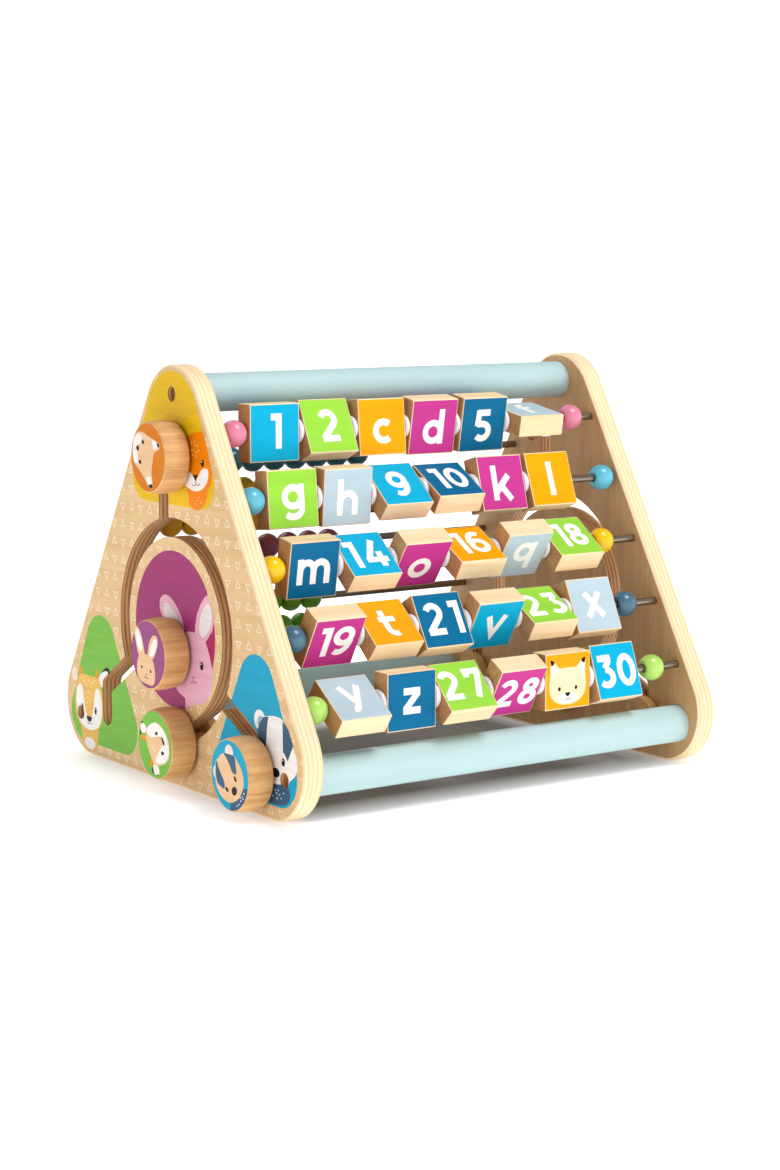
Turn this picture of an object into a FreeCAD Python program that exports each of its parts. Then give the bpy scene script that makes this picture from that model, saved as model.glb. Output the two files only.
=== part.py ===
"""Triangular wooden activity toy: two end panels with maze slots and captive knobs,
three round rails, five front rods of turning blocks and a seven-row abacus behind.

Millimetres, +Z up.  X runs along the rails, Y from the block side (-) to the abacus
side (+), and the toy stands on Z = 0 with its middle over the origin.
Writes one STEP file per subcomponent into parts/.
"""
import FreeCAD, Part
import math
import os

V = FreeCAD.Vector
AXIS_X = V(1, 0, 0)

# ---- driving dimensions -------------------------------------------------------------
LENGTH = 300.0            # outside to outside of the end panels
HEIGHT = 250.0
DEPTH = 283.0             # front to back of an end panel
PANEL_T = 13.0            # plywood thickness
FOOT_R = 33.0             # rounding of the two lower panel corners
APEX_R = 34.0             # rounding of the top panel corner
PANEL_EDGE_R = 1.8        # sanded panel edges

RAIL_R = 11.5
RAIL_SOCKET = 3.0         # how far a rail end sits in the panel
RAIL_FIT = 0.15           # radial gap in the socket
RAIL_CHAMFER = 0.4
TOP_RAIL = (0.0, 233.0)   # rail centres as (Y, Z)
LOW_RAIL_Y = 121.0
LOW_RAIL_Z = 25.4

SCREW_HEAD_R = 4.0
SCREW_HEAD_T = 3.0
SCREW_SHANK_R = 2.0
SCREW_CLEARANCE = 0.2
HEX_R = 2.0               # centre to corner of the hexagon socket
HEX_DEPTH = 1.8
SCREW_LENGTH = 32.0
COUNTERBORE_R = 4.4
COUNTERBORE_DEPTH = 6.0

ROD_R = 2.25
ROD_HOLE_R = 2.35
ROD_SOCKET = 5.0          # blind hole depth in the panel
BORE_R = 2.8              # bore of every block and bead

BLOCK_SIDE = 34.0
BLOCK_T = 13.3
BLOCK_EDGE_R = 0.8
BLOCK_PITCH = 37.8        # along the rod
BLOCKS_PER_ROW = 6
SPACER_R = 7.5
SPACER_T = 3.2
BEAD_R = 8.0
END_BEAD_LEN = 13.5
PLAY = 0.3                # gap between neighbours on a rod

FRONT_TOP_ROD = (-33.5, 210.8)     # (Y, Z) of the first front rod
FRONT_LOW_ROD = (-120.3, 62.4)     # and of the fifth
FRONT_ROWS = 5

ABACUS_TOP_ROD = (45.9, 187.8)
ABACUS_ROD_STEP = (11.06, -19.86)
ABACUS_ROWS = 7
ABACUS_BEADS = 10
ABACUS_BEAD_LEN = 14.8
ABACUS_PITCH = 15.5

SLOT_W = 11.5             # maze slots
RING_CENTRE = (0.0, 94.0)
RING_R = 60.75            # centre line of the round slot
RING_FROM, RING_TO = -26.0, 240.0  # degrees from +Y towards +Z

KNOB_GAP = 2.0            # knob stands this far off the panel
KNOB_T = 16.5
KNOB_FACE_R = 20.5
KNOB_BELLY_R = 21.4
KNOB_RIM = 0.7
STEM_R = 4.5
STEM_IN_KNOB = 9.0
STEM_CHAMFER = 0.6
RETAINER_R = 13.0
RETAINER_T = 6.0
RETAINER_GAP = 1.0
RETAINER_EDGE_R = 0.8
STEM_END = 1.5            # stem shows this far past the retainer

# Rest angle of each block about its rod: 0 stands upright, + leans its top backwards.
BLOCK_TILT = (
    (0, 25, 5, -10, -10, 80),
    (5, -5, 50, 60, 15, 20),
    (-10, 50, -35, 60, -35, 55),
    (-30, 50, 30, -30, 60, 25),
    (55, 0, 45, -30, 0, 20),
)
ROW_SHIFT = (1.5, 0.0, 0.0, 0.0, 0.0)          # how far a row has slid off the left panel
STOP_BEAD_X = (120.0, 128.5, 111.0, 112.0, 116.0)

# Slot centre lines as (Y, Z) points.  Only the lion's slot differs between the panels:
# it turns to the front on the left one (-1) and to the back on the right one (+1).
LION_HOME = {-1: (-4.0, 197.0), 1: (27.5, 197.0)}
LION_TURN = {-1: (11.0, 203.0), 1: (12.5, 203.0)}
RABBIT_HOME = (-1.0, 81.0)
RABBIT_TURN = (10.0, 88.0)
CROSSING = (RING_R * math.cos(math.radians(RING_FROM)),
            RING_CENTRE[1] + RING_R * math.sin(math.radians(RING_FROM)))
DEER_TURN = (85.5, 47.5)
DEER_HOME = (85.5, 28.5)
BADGER_FORK = (-51.5, 62.0)
BADGER_TURN = (-88.0, 44.0)
BADGER_HOME = (-93.0, 25.5)
TAIL_LENGTH = 26.0        # straight run where the round slot ends

INNER_X = LENGTH / 2 - PANEL_T


# ---- small helpers ------------------------------------------------------------------
def cyl(x0, x1, y, z, r):
    """Cylinder along X between x0 and x1."""
    lo, hi = min(x0, x1), max(x0, x1)
    return Part.makeCylinder(r, hi - lo, V(lo, y, z), AXIS_X)


def hull_of_circles(circles, x):
    """Closed wire in the plane X = x round three (Y, Z, r) circles, listed anticlockwise."""
    tangents = []
    for i, (y0, z0, r0) in enumerate(circles):
        y1, z1, r1 = circles[(i + 1) % len(circles)]
        span = math.hypot(y1 - y0, z1 - z0)
        dy, dz = (y1 - y0) / span, (z1 - z0) / span
        s = (r0 - r1) / span
        c = math.sqrt(1 - s * s)
        ny, nz = c * dz + s * dy, -c * dy + s * dz
        tangents.append(((y0 + r0 * ny, z0 + r0 * nz), (y1 + r1 * ny, z1 + r1 * nz), (ny, nz)))
    edges = []
    for i, (start, end, n) in enumerate(tangents):
        edges.append(Part.makeLine(V(x, *start), V(x, *end)))
        y, z, r = circles[(i + 1) % len(circles)]
        nxt = tangents[(i + 1) % len(tangents)]
        my, mz = n[0] + nxt[2][0], n[1] + nxt[2][1]
        m = math.hypot(my, mz)
        mid = V(x, y + r * my / m, z + r * mz / m)
        edges.append(Part.Arc(V(x, *end), mid, V(x, *nxt[0])).toShape())
    return Part.Wire(edges)


def straight_slot(a, b, width, x0, x1):
    """Round-ended slot cutter from a to b, both (Y, Z)."""
    h = width / 2
    span = math.hypot(b[0] - a[0], b[1] - a[1])
    dy, dz = (b[0] - a[0]) / span, (b[1] - a[1]) / span

    def at(p, along, side):
        return V(x0, p[0] + along * dy - side * dz, p[1] + along * dz + side * dy)

    edges = [
        Part.makeLine(at(a, 0, -h), at(b, 0, -h)),
        Part.Arc(at(b, 0, -h), at(b, h, 0), at(b, 0, h)).toShape(),
        Part.makeLine(at(b, 0, h), at(a, 0, h)),
        Part.Arc(at(a, 0, h), at(a, -h, 0), at(a, 0, -h)).toShape(),
    ]
    return Part.Face(Part.Wire(edges)).extrude(V(x1 - x0, 0, 0))


def ring_slot(centre, radius, width, from_deg, to_deg, x0, x1):
    """Round-ended C-shaped slot cutter."""
    def at(r, deg):
        a = math.radians(deg)
        return V(x0, centre[0] + r * math.cos(a), centre[1] + r * math.sin(a))

    def cap(deg, lead):
        a = math.radians(deg)
        return at(radius, deg) + V(0, -math.sin(a), math.cos(a)) * (lead * width / 2)

    outer, inner = radius + width / 2, radius - width / 2
    mid = (from_deg + to_deg) / 2
    edges = [
        Part.Arc(at(outer, from_deg), at(outer, mid), at(outer, to_deg)).toShape(),
        Part.Arc(at(outer, to_deg), cap(to_deg, 1), at(inner, to_deg)).toShape(),
        Part.Arc(at(inner, to_deg), at(inner, mid), at(inner, from_deg)).toShape(),
        Part.Arc(at(inner, from_deg), cap(from_deg, -1), at(outer, from_deg)).toShape(),
    ]
    return Part.Face(Part.Wire(edges)).extrude(V(x1 - x0, 0, 0))


def turned(points, y, z):
    """Solid of revolution about the X direction through (y, z); points are (x, r)."""
    wire = Part.makePolygon([V(px, y + pr, z) for px, pr in points + points[:1]])
    return Part.Face(wire).revolve(V(0, y, z), AXIS_X, 360)


def on_line(first, last, count, index):
    """Point number index of count points spread evenly from first to last."""
    t = index / (count - 1)
    return tuple(a + (b - a) * t for a, b in zip(first, last))


FRONT_RODS = [on_line(FRONT_TOP_ROD, FRONT_LOW_ROD, FRONT_ROWS, i) for i in range(FRONT_ROWS)]
ABACUS_RODS = [(ABACUS_TOP_ROD[0] + i * ABACUS_ROD_STEP[0],
                ABACUS_TOP_ROD[1] + i * ABACUS_ROD_STEP[1]) for i in range(ABACUS_ROWS)]
RAILS = [TOP_RAIL, (-LOW_RAIL_Y, LOW_RAIL_Z), (LOW_RAIL_Y, LOW_RAIL_Z)]

ring_end = math.radians(RING_TO)
TAIL_START = (RING_CENTRE[0] + RING_R * math.cos(ring_end),
              RING_CENTRE[1] + RING_R * math.sin(ring_end))
TAIL_END = (TAIL_START[0] - TAIL_LENGTH * math.sin(ring_end),
            TAIL_START[1] + TAIL_LENGTH * math.cos(ring_end))


# ---- end panels ---------------------------------------------------------------------
def end_panel(side):
    """Plywood end panel; side is -1 for the left one and +1 for the right one."""
    outer, inner = side * LENGTH / 2, side * INNER_X
    low = min(outer, inner)
    corners = [(-(DEPTH / 2 - FOOT_R), FOOT_R, FOOT_R), (DEPTH / 2 - FOOT_R, FOOT_R, FOOT_R),
               (0.0, HEIGHT - APEX_R, APEX_R)]
    panel = Part.Face(hull_of_circles(corners, low)).extrude(V(PANEL_T, 0, 0))
    rims = [e for e in panel.Edges
            if max(v.X for v in e.Vertexes) - min(v.X for v in e.Vertexes) < 1e-6]
    panel = panel.makeFillet(PANEL_EDGE_R, rims)

    x0, x1 = low - 1, low + PANEL_T + 1
    home, turn = LION_HOME[side], LION_TURN[side]
    drop = (turn[0], RING_CENTRE[1] + math.sqrt(RING_R ** 2 - turn[0] ** 2))
    paths = [
        (home, turn), (turn, drop), (RABBIT_HOME, RABBIT_TURN),
        (RABBIT_TURN, CROSSING), (CROSSING, DEER_TURN), (DEER_TURN, DEER_HOME),
        (BADGER_FORK, BADGER_TURN), (BADGER_TURN, BADGER_HOME), (TAIL_START, TAIL_END),
    ]
    maze = ring_slot(RING_CENTRE, RING_R, SLOT_W, RING_FROM, RING_TO, x0, x1)
    maze = maze.multiFuse([straight_slot(a, b, SLOT_W, x0, x1) for a, b in paths])
    holes = []
    for y, z in RAILS:
        holes.append(cyl(inner - side, inner + side * RAIL_SOCKET, y, z, RAIL_R + RAIL_FIT))
        holes.append(cyl(inner - side, outer + side, y, z, SCREW_SHANK_R + SCREW_CLEARANCE))
        holes.append(cyl(outer + side, outer - side * COUNTERBORE_DEPTH, y, z, COUNTERBORE_R))
    for y, z in FRONT_RODS + ABACUS_RODS:
        holes.append(cyl(inner - side, inner + side * ROD_SOCKET, y, z, ROD_HOLE_R))
    return panel.cut(maze).cut(holes).removeSplitter()


# ---- rails, rods and screws ---------------------------------------------------------
def rail(y, z):
    """Round rail with a pilot hole for the screw in each end."""
    reach = INNER_X + RAIL_SOCKET
    bar = cyl(-reach, reach, y, z, RAIL_R)
    rims = [e for e in bar.Edges if len(e.Vertexes) == 1]
    bar = bar.makeChamfer(RAIL_CHAMFER, rims)
    depth = SCREW_LENGTH - (PANEL_T - COUNTERBORE_DEPTH - RAIL_SOCKET)
    for side in (-1, 1):
        bar = bar.cut(cyl(side * reach, side * (reach - depth), y, z, SCREW_SHANK_R))
    return bar


def screw(side, y, z):
    """Countersunk-hole screw with a hexagon socket, driven from outside a panel."""
    seat = LENGTH / 2 - COUNTERBORE_DEPTH
    head = cyl(side * seat, side * (seat + SCREW_HEAD_T), y, z, SCREW_HEAD_R)
    shank = cyl(side * (seat - SCREW_LENGTH), side * seat, y, z, SCREW_SHANK_R)
    corners = [V(side * (seat + SCREW_HEAD_T), y + HEX_R * math.cos(math.radians(60 * k)),
                 z + HEX_R * math.sin(math.radians(60 * k))) for k in range(7)]
    socket = Part.Face(Part.makePolygon(corners)).extrude(V(-side * HEX_DEPTH, 0, 0))
    return head.fuse(shank).removeSplitter().cut(socket)


def wire_rod(y, z):
    """Steel rod with both ends in blind holes in the panels."""
    return cyl(-(INNER_X + ROD_SOCKET), INNER_X + ROD_SOCKET, y, z, ROD_R)


# ---- things on the rods -------------------------------------------------------------
def bead(x, y, z, length):
    """Round bead, turned about its bore and flattened at both ends."""
    h = length / 2
    end_r = math.sqrt(BEAD_R ** 2 - h ** 2)
    edges = [
        Part.makeLine(V(x - h, y + BORE_R, z), V(x - h, y + end_r, z)),
        Part.Arc(V(x - h, y + end_r, z), V(x, y + BEAD_R, z), V(x + h, y + end_r, z)).toShape(),
        Part.makeLine(V(x + h, y + end_r, z), V(x + h, y + BORE_R, z)),
        Part.makeLine(V(x + h, y + BORE_R, z), V(x - h, y + BORE_R, z)),
    ]
    return Part.Face(Part.Wire(edges)).revolve(V(x, y, z), AXIS_X, 360)


def spacer(x, y, z):
    """Thin round-rimmed spacer between two blocks."""
    disc = cyl(x - SPACER_T / 2, x + SPACER_T / 2, y, z, SPACER_R)
    disc = disc.makeFillet(SPACER_T / 2 - 0.2, [e for e in disc.Edges if len(e.Vertexes) == 1])
    return disc.cut(cyl(x - SPACER_T, x + SPACER_T, y, z, BORE_R))


def block(x, y, z, tilt):
    """Square block bored through from side to side and turned to its rest angle."""
    half = BLOCK_SIDE / 2
    body = Part.makeBox(BLOCK_SIDE, BLOCK_T, BLOCK_SIDE, V(x - half, y - BLOCK_T / 2, z - half))
    body = body.makeFillet(BLOCK_EDGE_R, body.Edges)
    body = body.cut(cyl(x - half - 1, x + half + 1, y, z, BORE_R))
    body.rotate(V(x, y, z), AXIS_X, -tilt)
    return body


# ---- captive knobs ------------------------------------------------------------------
def knob(side, home):
    """Turned knob outside a panel, its stem through the slot and the retainer inside."""
    y, z = home
    face = LENGTH / 2 + KNOB_GAP + KNOB_T
    base = LENGTH / 2 + KNOB_GAP
    bore_end = base + STEM_IN_KNOB

    belly = []
    steps = 12
    for k in range(steps + 1):
        t = k / steps
        x = base + KNOB_RIM + (KNOB_T - 2 * KNOB_RIM) * t
        belly.append((x, KNOB_FACE_R + (KNOB_BELLY_R - KNOB_FACE_R) * 4 * t * (1 - t)))
    profile = [(bore_end, 0.0), (bore_end, STEM_R), (base, STEM_R),
               (base, KNOB_FACE_R - KNOB_RIM)]
    profile += belly + [(face, KNOB_FACE_R - KNOB_RIM), (face, 0.0)]
    body = turned([(side * x, r) for x, r in profile], y, z)

    stop = INNER_X - RETAINER_GAP
    stem_end = stop - RETAINER_T - STEM_END
    stem = cyl(side * stem_end, side * bore_end, y, z, STEM_R)
    tip = [e for e in stem.Edges if len(e.Vertexes) == 1
           and abs(e.Vertexes[0].X - side * stem_end) < 1e-6]
    stem = stem.makeChamfer(STEM_CHAMFER, tip)
    disc = cyl(side * stop, side * (stop - RETAINER_T), y, z, RETAINER_R)
    disc = disc.makeFillet(RETAINER_EDGE_R, [e for e in disc.Edges if len(e.Vertexes) == 1])
    disc = disc.cut(cyl(side * stop, side * (stop - RETAINER_T), y, z, STEM_R))
    return Part.makeCompound([body, stem, disc])


# ---- every node ---------------------------------------------------------------------
def build():
    """Return {node name: shape}."""
    nodes = {
        "left_panel": end_panel(-1),
        "right_panel": end_panel(1),
        "top_rail": rail(*RAILS[0]),
        "bottom_rails": Part.makeCompound([rail(*RAILS[1]), rail(*RAILS[2])]),
    }
    steel = [wire_rod(y, z) for y, z in FRONT_RODS + ABACUS_RODS]
    steel += [screw(side, y, z) for side in (-1, 1) for y, z in RAILS]
    nodes["steel_rods_and_screws"] = Part.makeCompound(steel)

    for row, (y, z) in enumerate(FRONT_RODS):
        bead_x = -INNER_X + PLAY + END_BEAD_LEN / 2 + ROW_SHIFT[row]
        first = bead_x + END_BEAD_LEN / 2 + PLAY + BLOCK_SIDE / 2
        strung = [bead(bead_x, y, z, END_BEAD_LEN)]
        for k in range(BLOCKS_PER_ROW):
            x = first + k * BLOCK_PITCH
            number = row * BLOCKS_PER_ROW + k + 1
            nodes["block_%02d" % number] = block(x, y, z, BLOCK_TILT[row][k])
            if k:
                strung.append(spacer(x - BLOCK_PITCH / 2, y, z))
        nodes["row_%d_beads" % (row + 1)] = Part.makeCompound(strung)
        nodes["row_%d_end_bead" % (row + 1)] = bead(STOP_BEAD_X[row], y, z, END_BEAD_LEN)

    for row, (y, z) in enumerate(ABACUS_RODS):
        first = -INNER_X + PLAY + ABACUS_BEAD_LEN / 2
        beads = [bead(first + k * ABACUS_PITCH, y, z, ABACUS_BEAD_LEN)
                 for k in range(ABACUS_BEADS)]
        nodes["abacus_row_%d" % (row + 1)] = Part.makeCompound(beads)

    nodes["left_lion_knob"] = knob(-1, LION_HOME[-1])
    nodes["left_rabbit_knob"] = knob(-1, RABBIT_HOME)
    nodes["left_deer_knob"] = knob(-1, TAIL_END)
    nodes["left_badger_knob"] = knob(-1, BADGER_HOME)
    nodes["right_lion_knob"] = knob(1, TAIL_END)
    nodes["right_rabbit_knob"] = knob(1, RABBIT_HOME)
    nodes["right_deer_knob"] = knob(1, DEER_HOME)
    nodes["right_badger_knob"] = knob(1, BADGER_HOME)
    return nodes


os.makedirs("parts", exist_ok=True)
for name, shape in build().items():
    shape.exportStep(os.path.join("parts", name + ".step"))
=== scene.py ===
"""Looks of the triangular wooden activity toy: finishes, printed pictures, numbers and letters.

Lengths in the drawing code are millimetres; mesh coordinates are metres, in the row frame.
"""

import math

import bpy
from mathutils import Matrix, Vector


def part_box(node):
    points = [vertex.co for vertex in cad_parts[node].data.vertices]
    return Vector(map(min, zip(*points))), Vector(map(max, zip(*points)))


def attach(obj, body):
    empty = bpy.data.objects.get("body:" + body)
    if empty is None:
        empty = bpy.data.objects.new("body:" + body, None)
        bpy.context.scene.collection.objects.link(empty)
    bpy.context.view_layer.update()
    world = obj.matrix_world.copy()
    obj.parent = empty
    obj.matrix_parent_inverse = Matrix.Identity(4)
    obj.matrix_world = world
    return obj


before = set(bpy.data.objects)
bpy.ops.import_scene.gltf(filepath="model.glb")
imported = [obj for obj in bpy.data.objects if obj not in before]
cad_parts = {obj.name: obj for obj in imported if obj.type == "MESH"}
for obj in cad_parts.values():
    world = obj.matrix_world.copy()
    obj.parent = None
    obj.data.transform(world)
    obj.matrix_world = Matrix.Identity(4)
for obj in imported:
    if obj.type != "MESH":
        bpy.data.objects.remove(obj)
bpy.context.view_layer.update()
MM = 0.001

# ---- sizes the pictures and finishes depend on --------------------------------------
panel_low, panel_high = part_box("right_panel")
PANEL_OUTER_X = round(panel_high.x / MM, 2)
PANEL_T = round((panel_high.x - panel_low.x) / MM, 2)
KNOB_FACE_X = round(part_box("right_lion_knob")[1].x / MM, 2)
FOOT_CORNER = (108.5, 33.0, 33.0)     # centre (Y, Z) and radius of a lower panel corner
APEX_CORNER = (0.0, 216.0, 34.0)
PLY = 1.45                            # thickness of one veneer
BLOCK_T = 13.3
END_BEAD_REACH = 16.0                 # a row's left end bead lies within this of its start, spacers beyond
SCREW_DEPTH = 6.5                     # steel this near a panel's outer face is a screw; rods end deeper
KNOB_PRINT_R = 19.75
RIM_BAND = 3.5                        # a panel's outer edge is found this near its true line
GLYPH_SIZE = 20.5                     # height of a digit on a block
GLYPH_STROKE = 0.195                  # stroke width as a share of that
PRINT_SUNK = 0.10                     # a print reaches this far into the wood
PRINT_LIFT = 0.03                     # and the first layer stands this proud of it
PRINT_STEP = 0.012                    # each further layer is this much higher
TRIM_DEPTH, TRIM_RISE = 0.6, 1.0      # a trimming slab reaches from inside the wood to above the prints
FLAT = 0.98                           # least part of a normal along X on a face that looks along X


# ---- colours and finishes -----------------------------------------------------------
def srgb(r, g, b):
    """Linear colour of an 8-bit display colour."""
    def channel(c):
        c /= 255
        return c / 12.92 if c <= 0.04045 else ((c + 0.055) / 1.055) ** 2.4
    return (channel(r), channel(g), channel(b), 1.0)


def shade(colour, factor):
    return tuple(c * factor for c in colour[:3]) + (1.0,)


class Finish:
    """A material being put together from nodes."""

    def __init__(self, name, roughness=0.5, coat=0.0, metallic=0.0, specular=0.5):
        self.material = bpy.data.materials.new(name)
        self.material.use_nodes = True
        self.tree = self.material.node_tree
        self.shader = self.tree.nodes["Principled BSDF"]
        self.shader.inputs["Roughness"].default_value = roughness
        self.shader.inputs["Metallic"].default_value = metallic
        self.shader.inputs["Coat Weight"].default_value = coat
        self.shader.inputs["Coat Roughness"].default_value = 0.12
        self.shader.inputs["Specular IOR Level"].default_value = specular
        self.place = self.tree.nodes.new("ShaderNodeTexCoord").outputs["Object"]

    def put(self, value, socket):
        if isinstance(value, bpy.types.NodeSocket):
            self.tree.links.new(value, socket)
        else:
            socket.default_value = value

    def math(self, operation, a, b=0.0, c=0.0):
        node = self.tree.nodes.new("ShaderNodeMath")
        node.operation = operation
        for value, socket in zip((a, b, c), node.inputs):
            self.put(value, socket)
        return node.outputs[0]

    def axes(self):
        node = self.tree.nodes.new("ShaderNodeSeparateXYZ")
        self.tree.links.new(self.place, node.inputs[0])
        return node.outputs

    def noise(self, per_metre, detail=4.0, distortion=0.0):
        """Noise with this many waves to the metre along X, Y and Z."""
        mapping = self.tree.nodes.new("ShaderNodeMapping")
        mapping.inputs["Scale"].default_value = per_metre
        self.tree.links.new(self.place, mapping.inputs["Vector"])
        node = self.tree.nodes.new("ShaderNodeTexNoise")
        node.inputs["Scale"].default_value = 1.0
        node.inputs["Detail"].default_value = detail
        node.inputs["Distortion"].default_value = distortion
        self.tree.links.new(mapping.outputs[0], node.inputs["Vector"])
        return node.outputs["Fac"]

    def spread(self, value, low, high):
        """Value stretched so that low becomes 0 and high becomes 1."""
        node = self.tree.nodes.new("ShaderNodeMapRange")
        self.put(value, node.inputs["Value"])
        node.inputs["From Min"].default_value = low
        node.inputs["From Max"].default_value = high
        return node.outputs[0]

    def mix(self, factor, a, b):
        node = self.tree.nodes.new("ShaderNodeMix")
        node.data_type = "RGBA"
        self.put(factor, node.inputs["Factor"])
        self.put(a, node.inputs["A"])
        self.put(b, node.inputs["B"])
        return node.outputs["Result"]

    def bump(self, height, distance, strength=1.0):
        node = self.tree.nodes.new("ShaderNodeBump")
        node.inputs["Strength"].default_value = strength
        node.inputs["Distance"].default_value = distance
        self.tree.links.new(height, node.inputs["Height"])
        self.tree.links.new(node.outputs[0], self.shader.inputs["Normal"])

    def coloured(self, colour):
        self.put(colour, self.shader.inputs["Base Color"])
        return self.material


def paint(name, colour, roughness=0.45, coat=0.0, streaks=(14, 30, 260), depth=0.10):
    """Paint or print that lets a little of the wood grain through."""
    f = Finish(name, roughness, coat, specular=0.10)
    grain = f.spread(f.noise(streaks, 3.0), 0.35, 0.65)
    f.bump(grain, 0.00002)
    return f.coloured(f.mix(grain, shade(colour, 1 - depth), colour))


def gloss(name, colour):
    """Glossy lacquer on a turned bead."""
    f = Finish(name, 0.30, 0.35, specular=0.3)
    tone = f.spread(f.noise((60, 60, 60), 2.0), 0.3, 0.7)
    f.bump(tone, 0.00003)
    return f.coloured(f.mix(tone, shade(colour, 0.93), colour))


def wood(name, light, dark, streaks, roughness=0.55, pores=0.35):
    """Bare wood with grain running along the axis that has the fewest waves."""
    f = Finish(name, roughness, specular=0.3)
    broad = f.spread(f.noise(streaks, 5.0, 0.6), 0.32, 0.68)
    fine = f.spread(f.noise(tuple(6 * s for s in streaks), 3.0), 0.30, 0.70)
    tone = f.math("ADD", f.math("MULTIPLY", broad, 1 - pores), f.math("MULTIPLY", fine, pores))
    f.bump(tone, 0.00004)
    return f.coloured(f.mix(tone, dark, light))


def plies(name, light, dark, scorch, roughness=0.6):
    """Cut edge of the plywood: veneers seen end-on, as bands across the panel's thickness."""
    f = Finish(name, roughness)
    x = f.axes()[0]
    depth = f.math("DIVIDE", f.math("ABSOLUTE", x), 2 * PLY * MM)
    wave = f.math("SINE", f.math("MULTIPLY", depth, 2 * math.pi))
    band = f.spread(wave, -0.5, 0.5)
    fibres = f.spread(f.noise((900, 60, 60), 3.0), 0.3, 0.7)
    tone = f.math("ADD", f.math("MULTIPLY", band, 0.55), f.math("MULTIPLY", fibres, 0.45))
    cloud = f.spread(f.noise((30, 30, 30), 2.0), 0.35, 0.75)
    f.bump(tone, 0.00006)
    return f.coloured(f.mix(f.math("MULTIPLY", cloud, scorch[1]), f.mix(tone, dark, light), scorch[0]))


def patterned_veneer(name, light, dark, line):
    """Outer veneer printed with rows of small outlined triangles, every other one upside down."""
    pitch, side = 11.2 * MM, 5.2 * MM
    f = Finish(name, 0.5, specular=0.3)
    broad = f.spread(f.noise((30, 9, 130), 5.0, 0.6), 0.32, 0.68)
    fine = f.spread(f.noise((200, 60, 900), 3.0), 0.3, 0.7)
    tone = f.math("ADD", f.math("MULTIPLY", broad, 0.65), f.math("MULTIPLY", fine, 0.35))
    f.bump(tone, 0.00003)
    _, y, z = f.axes()
    column = f.math("FLOOR", f.math("DIVIDE", y, pitch))
    row = f.math("FLOOR", f.math("DIVIDE", z, pitch))
    u = f.math("SUBTRACT", f.math("SUBTRACT", y, f.math("MULTIPLY", column, pitch)), pitch / 2)
    v = f.math("SUBTRACT", f.math("SUBTRACT", z, f.math("MULTIPLY", row, pitch)), pitch / 2)
    odd = f.math("MODULO", f.math("ABSOLUTE", f.math("ADD", column, row)), 2.0)
    v = f.math("MULTIPLY", v, f.math("SUBTRACT", 1.0, f.math("MULTIPLY", odd, 2.0)))
    slant = f.math("ADD", f.math("MULTIPLY", f.math("ABSOLUTE", u), 0.866), f.math("MULTIPLY", v, 0.5))
    inside = f.math("MAXIMUM", slant, f.math("MULTIPLY", v, -1.0))
    edge = f.math("ABSOLUTE", f.math("SUBTRACT", inside, side * 0.289))
    drawn = f.math("MULTIPLY", f.math("LESS_THAN", edge, 0.30 * MM), 0.6)
    return f.coloured(f.mix(drawn, f.mix(tone, dark, light), line))


def steel(name, colour, roughness):
    f = Finish(name, roughness, metallic=1.0)
    tone = f.spread(f.noise((8, 600, 600), 2.0), 0.3, 0.7)
    f.bump(tone, 0.00001)
    return f.coloured(f.mix(tone, shade(colour, 0.8), colour))


MAPLE, MAPLE_DARK = srgb(222, 188, 138), srgb(202, 164, 112)
EDGE, EDGE_DARK = srgb(250, 228, 192), srgb(228, 196, 150)
SCORCH = srgb(112, 70, 38)

veneer_outer = patterned_veneer("outer_veneer", MAPLE, MAPLE_DARK, srgb(246, 232, 214))
# inner faces drawn a darker tan than the outer maple veneer, as painted shade for the inside of the frame
veneer_inner = wood("inner_veneer", srgb(206, 164, 116), srgb(182, 138, 90), (30, 110, 9))
panel_edge = plies("panel_edge", EDGE, EDGE_DARK, (EDGE_DARK, 0.2))
slot_wall = plies("slot_wall", srgb(236, 190, 138), srgb(158, 108, 64), (SCORCH, 0.15))
block_wood = wood("block_wood", srgb(250, 226, 188), srgb(234, 200, 152), (10, 110, 110))
# wood for the sides of a block that face along X, a darker brown than its other sides
block_end = wood("block_end", srgb(200, 152, 104), srgb(168, 118, 74), (60, 110, 110))
knob_wood = wood("knob_wood", srgb(230, 184, 126), srgb(188, 134, 78), (10, 120, 190))
face_wood = wood("face_wood", srgb(232, 190, 146), srgb(218, 172, 126), (10, 14, 160))
rod_steel = steel("rod_steel", srgb(150, 140, 128), 0.35)
screw_bronze = paint("screw_bronze", srgb(150, 106, 66), 0.5)
rail_paint = paint("rail_paint", srgb(184, 211, 212), 0.42, 0.1, (6, 120, 120), 0.05)

BLOCK_COLOURS = {
    "cyan": srgb(0, 172, 214), "green": srgb(152, 214, 66), "orange": srgb(242, 163, 0),
    "magenta": srgb(196, 56, 142), "navy": srgb(0, 104, 148), "pale": srgb(184, 204, 214),
}
block_paint = {name: paint("block_" + name, colour, 0.45, 0.0, (20, 160, 160), 0.07)
               for name, colour in BLOCK_COLOURS.items()}
BEAD_COLOURS = {
    "row_bead_1": srgb(232, 132, 160), "row_bead_2": srgb(96, 186, 210),
    "row_bead_3": srgb(252, 196, 0), "row_bead_4": srgb(70, 108, 130),
    "row_bead_5": srgb(178, 222, 104), "spacer": srgb(228, 228, 234),
    "abacus_teal": srgb(28, 106, 128), "abacus_amber": srgb(226, 166, 16),
    "abacus_plum": srgb(140, 72, 100), "abacus_leaf": srgb(104, 164, 34),
}
bead_paint = {name: gloss(name, colour) for name, colour in BEAD_COLOURS.items()}

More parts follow.
